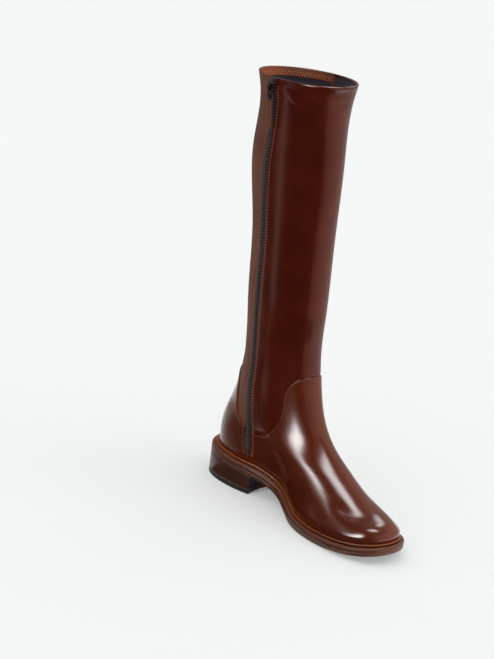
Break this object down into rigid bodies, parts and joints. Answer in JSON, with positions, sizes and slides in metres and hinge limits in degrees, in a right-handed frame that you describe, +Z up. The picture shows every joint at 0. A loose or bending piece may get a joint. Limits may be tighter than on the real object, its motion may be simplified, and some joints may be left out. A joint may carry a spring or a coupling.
{
  "type": "knee-high boot",
  "caption": "Knee-high leather boot with an inner-side zip, stretch back panel, rounded toe, all-round welt and low block heel.",
  "frame": {"origin": "on the floor, under the middle of the boot's bounding box", "axes": "+Z up the leg, -Y towards the toe, +X towards the outer side of the foot"},
  "size_m": [0.0946, 0.265, 0.4486],
  "materials": {
    "glossy_calf": "polished, high gloss",
    "stretch_leather": "matt",
    "zip_textile": "matt woven tape and coil",
    "dark_metal": "dark gunmetal, semi-gloss",
    "welt_leather": "burnished, semi-gloss",
    "sole_leather": "burnished edge, dark underside",
    "insole_cover": "matt textile",
    "stacked_leather": "stacked and burnished, semi-gloss",
    "heel_rubber": "matt"
  },
  "bodies": {
    "boot": {"upper": "glossy_calf", "back_panel": "stretch_leather", "zip_tape": "zip_textile", "zip_coil": "zip_textile", "zip_slider": "dark_metal", "welt": "welt_leather", "outsole": "sole_leather", "insole": "insole_cover", "heel_block": "stacked_leather", "heel_top_piece": "heel_rubber"},
    "zip_pull": {"zip_pull_tab": "dark_metal", "zip_pull_strip": "stretch_leather"}
  },
  "joints": [
    {"name": "zip_pull_hinge", "type": "hinge", "parent": "boot", "child": "zip_pull", "pos_m": [-0.04465, 0.08006, 0.43174], "axis": [0.0946, 0.9951, -0.0279], "range_deg": [0, 150]}
  ]
}
